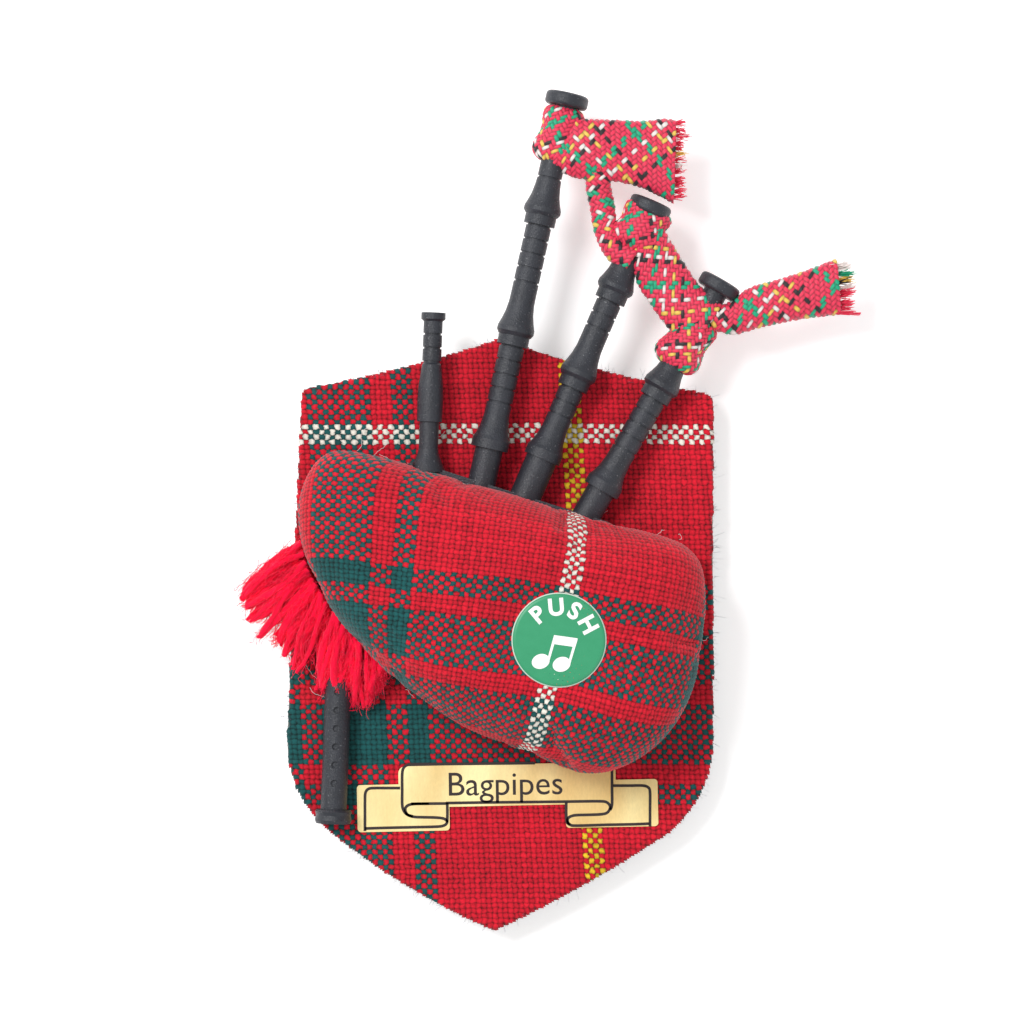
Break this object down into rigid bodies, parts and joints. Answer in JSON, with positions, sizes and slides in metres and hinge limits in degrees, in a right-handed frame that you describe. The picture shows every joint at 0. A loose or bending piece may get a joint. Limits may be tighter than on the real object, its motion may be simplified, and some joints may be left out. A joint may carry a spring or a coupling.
{
  "type": "bagpipes",
  "caption": "Souvenir bagpipes: a tartan bag with black pipes, yarn tassel and lace on a shield plaque, with a press-to-play sound module and a magnet back.",
  "frame": {"origin": "centre of the magnet's back face, under the middle of the shield", "axes": "+Z out of the front, towards the person who looks at it; +Y up the shield, towards the tip of the bass drone; +X to the viewer's right"},
  "size_m": [0.0846, 0.1174, 0.0212],
  "materials": {
    "ferrite": "flexible ferrite sheet, matt, with faint rolling lines",
    "tape": "double-sided foam tape, white",
    "liner": "blue-grey pressed felt",
    "board": "dense grey-brown board with a raw cut edge",
    "plaque_tartan": "plain-woven tartan, red and dark green with white and yellow lines",
    "bag_tartan": "plain-woven tartan, red and dark green with a white line",
    "panel_cloth": "the same cloth, seen from inside",
    "wadding": "white polyester wadding",
    "gold_foil": "gold foil paper, printed in black",
    "pipe_plastic": "moulded black plastic, satin, dusty in its grooves",
    "yarn": "fuzzy scarlet wool yarn",
    "lace": "flat braided lace in red with green, yellow, white and black strands",
    "case_plastic": "natural white ABS",
    "sounder_brass": "rolled brass with a white ceramic disc",
    "circuit": "green solder mask on glass fibre",
    "tinned_wire": "tinned copper wire",
    "epoxy": "black epoxy over a bare chip",
    "cell_steel": "nickel-plated steel cells",
    "contact_steel": "nickel-plated spring steel",
    "screw_steel": "zinc-plated steel",
    "spring_steel": "spring wire",
    "button_plastic": "white moulded plastic",
    "label_vinyl": "green vinyl label printed in white"
  },
  "bodies": {
    "root": {"magnet": "ferrite", "magnet_tape": "tape", "back_liner": "liner", "backing_board": "board", "front_cloth": "plaque_tartan", "name_scroll": "gold_foil", "bag_cover": "bag_tartan", "bag_back_panel": "panel_cloth", "bag_filling": "wadding", "stock_rail": "pipe_plastic", "bass_drone": "pipe_plastic", "middle_drone": "pipe_plastic", "outer_drone": "pipe_plastic", "blowpipe": "pipe_plastic", "chanter": "pipe_plastic", "yarn_tassel": "yarn", "drone_lace": "lace", "module_case": "case_plastic", "module_lid": "case_plastic", "sounder": "sounder_brass", "circuit_board": "circuit", "sounder_leads": "tinned_wire", "chip_blob": "epoxy", "button_cells": "cell_steel", "cell_contacts": "contact_steel", "contact_dome": "contact_steel", "module_screws": "screw_steel", "return_spring": "spring_steel"},
    "button": {"press_plunger": "button_plastic", "press_head": "button_plastic", "press_patch": "bag_tartan", "press_label": "label_vinyl"}
  },
  "joints": [
    {"name": "button_press", "type": "slide", "parent": "root", "child": "button", "axis": [0, 0, -1], "range_m": [0, 0.0008], "stiffness_N_per_m": 1500, "deforming": ["return_spring"]}
  ]
}
